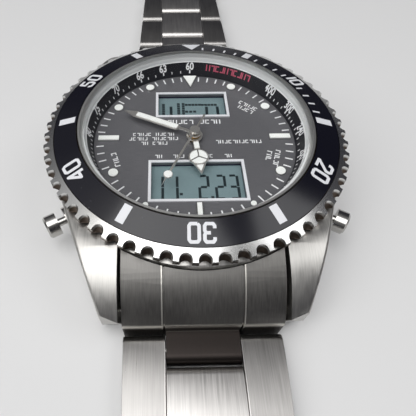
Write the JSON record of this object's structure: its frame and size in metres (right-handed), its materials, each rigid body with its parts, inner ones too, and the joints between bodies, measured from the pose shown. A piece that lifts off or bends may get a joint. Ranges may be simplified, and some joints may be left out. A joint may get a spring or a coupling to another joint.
{
  "type": "wristwatch",
  "caption": "Steel sports wristwatch with hands and digital windows, turning bezel, side push buttons and a hinged link bracelet with folding clasp.",
  "frame": {"origin": "centre of the case back's outer flat face, on the dial's axis", "axes": "+Z out of the dial, +Y towards twelve o'clock along the bracelet, +X towards three o'clock"},
  "size_m": [0.0426, 0.195, 0.0139],
  "materials": {
    "case_steel": "brushed",
    "bezel_steel": "polished",
    "insert_black": "gloss",
    "spring_steel": "satin",
    "glass": "clear",
    "rubber": "matt",
    "ring_black": "matt",
    "dial_grey": "sunray",
    "frame_steel": "satin",
    "marker_white": "luminous paint",
    "solar": "dark",
    "lcd": "display",
    "connector": "matt",
    "movement_plastic": "moulded",
    "board": "board",
    "cell": "satin",
    "ferrite": "matt",
    "copper": "enamelled wire",
    "train_brass": "cut",
    "hand_steel": "polished",
    "link_steel": "brushed",
    "pusher_steel": "turned"
  },
  "bodies": {
    "watch": {"mid_case": "case_steel", "case_back": "case_steel", "case_back_gasket": "rubber", "click_spring": "spring_steel", "crystal": "glass", "crystal_gasket": "rubber", "tachymeter_ring": "ring_black", "dial": "dial_grey", "window_frames": "frame_steel", "hour_markers": "marker_white", "solar_cell": "solar", "lower_display": "lcd", "upper_display": "lcd", "display_connectors": "connector", "movement_plate": "movement_plastic", "circuit_board": "board", "rechargeable_cell": "cell", "cell_strap": "spring_steel", "antenna_core": "ferrite", "antenna_coil": "copper", "motor_coils": "copper", "motor_stators": "spring_steel", "train_bridge": "train_brass", "movement_screws": "spring_steel", "pusher_tubes": "pusher_steel", "pusher_seals": "rubber", "pusher_springs": "spring_steel", "end_piece_12": "link_steel", "end_piece_6": "link_steel", "spring_bars": "spring_steel"},
    "bezel": {"bezel_ring": "bezel_steel", "bezel_insert": "insert_black"},
    "second": {"second_hand": "hand_steel", "second_arbor": "train_brass"},
    "second_rotor": {"second_rotor": "train_brass"},
    "minute": {"minute_hand": "hand_steel", "cannon_pinion": "train_brass"},
    "hour": {"hour_hand": "hand_steel", "hour_wheel": "train_brass"},
    "motion_wheel": {"motion_wheel": "train_brass"},
    "minute_rotor": {"minute_rotor": "train_brass"},
    "clasp": {"clasp_cover": "link_steel", "clasp_spring_bar": "spring_steel"},
    "long_blade": {"long_blade": "link_steel"},
    "short_blade": {"short_blade": "link_steel"},
    "safety_flap": {"safety_flap": "link_steel"},
    "pusher_2": {"pusher_2": "pusher_steel"},
    "pusher_4": {"pusher_4": "pusher_steel"},
    "pusher_8": {"pusher_8": "pusher_steel"},
    "pusher_10": {"pusher_10": "pusher_steel"},
    "link_12_1": {"link_12_1": "link_steel"},
    "link_12_2": {"link_12_2": "link_steel"},
    "link_12_3": {"link_12_3": "link_steel"},
    "link_12_4": {"link_12_4": "link_steel"},
    "link_12_5": {"link_12_5": "link_steel"},
    "link_12_6": {"link_12_6": "link_steel"},
    "link_6_1": {"link_6_1": "link_steel"},
    "link_6_2": {"link_6_2": "link_steel"},
    "link_6_3": {"link_6_3": "link_steel"},
    "link_6_4": {"link_6_4": "link_steel"}
  },
  "joints": [
    {"name": "bezel_turn", "type": "hinge", "parent": "watch", "child": "bezel", "pos_m": [0, 0, 0.0115], "axis": [0, 0, 1], "continuous": true},
    {"name": "second_spin", "type": "hinge", "parent": "watch", "child": "second", "pos_m": [0, 0, 0.005], "axis": [0, 0, 1], "continuous": true},
    {"name": "second_rotor_spin", "type": "hinge", "parent": "watch", "child": "second_rotor", "pos_m": [-0.00281, -0.00312, 0], "axis": [0, 0, 1], "continuous": true},
    {"name": "minute_spin", "type": "hinge", "parent": "watch", "child": "minute", "pos_m": [0, 0, 0.006], "axis": [0, 0, 1], "continuous": true},
    {"name": "hour_spin", "type": "hinge", "parent": "watch", "child": "hour", "pos_m": [0, 0, 0.007], "axis": [0, 0, 1], "continuous": true},
    {"name": "motion_wheel_spin", "type": "hinge", "parent": "watch", "child": "motion_wheel", "pos_m": [0.0048, 0, 0], "axis": [0, 0, 1], "continuous": true},
    {"name": "minute_rotor_spin", "type": "hinge", "parent": "watch", "child": "minute_rotor", "pos_m": [0.0027, -0.00322, 0], "axis": [0, 0, 1], "continuous": true},
    {"name": "pusher_2_press", "type": "slide", "parent": "watch", "child": "pusher_2", "axis": [-0.866, -0.5, 0], "range_m": [0, 0.001], "stiffness_N_per_m": 1500},
    {"name": "pusher_4_press", "type": "slide", "parent": "watch", "child": "pusher_4", "axis": [-0.866, 0.5, 0], "range_m": [0, 0.001], "stiffness_N_per_m": 1500},
    {"name": "pusher_8_press", "type": "slide", "parent": "watch", "child": "pusher_8", "axis": [0.866, 0.5, 0], "range_m": [0, 0.001], "stiffness_N_per_m": 1500},
    {"name": "pusher_10_press", "type": "slide", "parent": "watch", "child": "pusher_10", "axis": [0.866, -0.5, 0], "range_m": [0, 0.001], "stiffness_N_per_m": 1500},
    {"name": "link_12_1_hinge", "type": "hinge", "parent": "watch", "child": "link_12_1", "pos_m": [0, 0.0274, 0.00135], "axis": [-1, 0, 0], "range_deg": [-8, 35]},
    {"name": "link_12_2_hinge", "type": "hinge", "parent": "link_12_1", "child": "link_12_2", "pos_m": [0, 0.0377, 0.00135], "axis": [-1, 0, 0], "range_deg": [-8, 35]},
    {"name": "link_12_3_hinge", "type": "hinge", "parent": "link_12_2", "child": "link_12_3", "pos_m": [0, 0.048, 0.00135], "axis": [-1, 0, 0], "range_deg": [-8, 35]},
    {"name": "link_12_4_hinge", "type": "hinge", "parent": "link_12_3", "child": "link_12_4", "pos_m": [0, 0.0583, 0.00135], "axis": [-1, 0, 0], "range_deg": [-8, 35]},
    {"name": "link_12_5_hinge", "type": "hinge", "parent": "link_12_4", "child": "link_12_5", "pos_m": [0, 0.0686, 0.00135], "axis": [-1, 0, 0], "range_deg": [-8, 35]},
    {"name": "link_12_6_hinge", "type": "hinge", "parent": "link_12_5", "child": "link_12_6", "pos_m": [0, 0.0789, 0.00135], "axis": [-1, 0, 0], "range_deg": [-8, 35]},
    {"name": "link_6_1_hinge", "type": "hinge", "parent": "watch", "child": "link_6_1", "pos_m": [0, -0.0274, 0.00135], "axis": [1, 0, 0], "range_deg": [-8, 35]},
    {"name": "link_6_2_hinge", "type": "hinge", "parent": "link_6_1", "child": "link_6_2", "pos_m": [0, -0.0377, 0.00135], "axis": [1, 0, 0], "range_deg": [-8, 35]},
    {"name": "link_6_3_hinge", "type": "hinge", "parent": "link_6_2", "child": "link_6_3", "pos_m": [0, -0.048, 0.00135], "axis": [1, 0, 0], "range_deg": [-8, 35]},
    {"name": "link_6_4_hinge", "type": "hinge", "parent": "link_6_3", "child": "link_6_4", "pos_m": [0, -0.0583, 0.00135], "axis": [1, 0, 0], "range_deg": [-8, 35]},
    {"name": "clasp_hinge", "type": "hinge", "parent": "link_6_4", "child": "clasp", "pos_m": [0, -0.0686, 0.00135], "axis": [1, 0, 0], "range_deg": [-8, 35]},
    {"name": "long_blade_hinge", "type": "hinge", "parent": "clasp", "child": "long_blade", "pos_m": [0, -0.09997, 0.00228], "axis": [1, 0, 0], "range_deg": [-150, 0]},
    {"name": "short_blade_hinge", "type": "hinge", "parent": "long_blade", "child": "short_blade", "pos_m": [0, -0.07178, 0.00158], "axis": [-1, 0, 0], "range_deg": [-166, 0]},
    {"name": "safety_flap_hinge", "type": "hinge", "parent": "clasp", "child": "safety_flap", "pos_m": [0, -0.09997, 0.00228], "axis": [-1, 0, 0], "range_deg": [-90, 0]}
  ],
  "couplings": [
    {"joint": "second_rotor_spin", "follows": "second_spin", "ratio": -6},
    {"joint": "minute_rotor_spin", "follows": "minute_spin", "ratio": -6},
    {"joint": "motion_wheel_spin", "follows": "minute_spin", "ratio": -0.33333},
    {"joint": "hour_spin", "follows": "minute_spin", "ratio": 0.083333},
    {"joint": "short_blade_hinge", "follows": "long_blade_hinge", "ratio": 1.1}
  ]
}
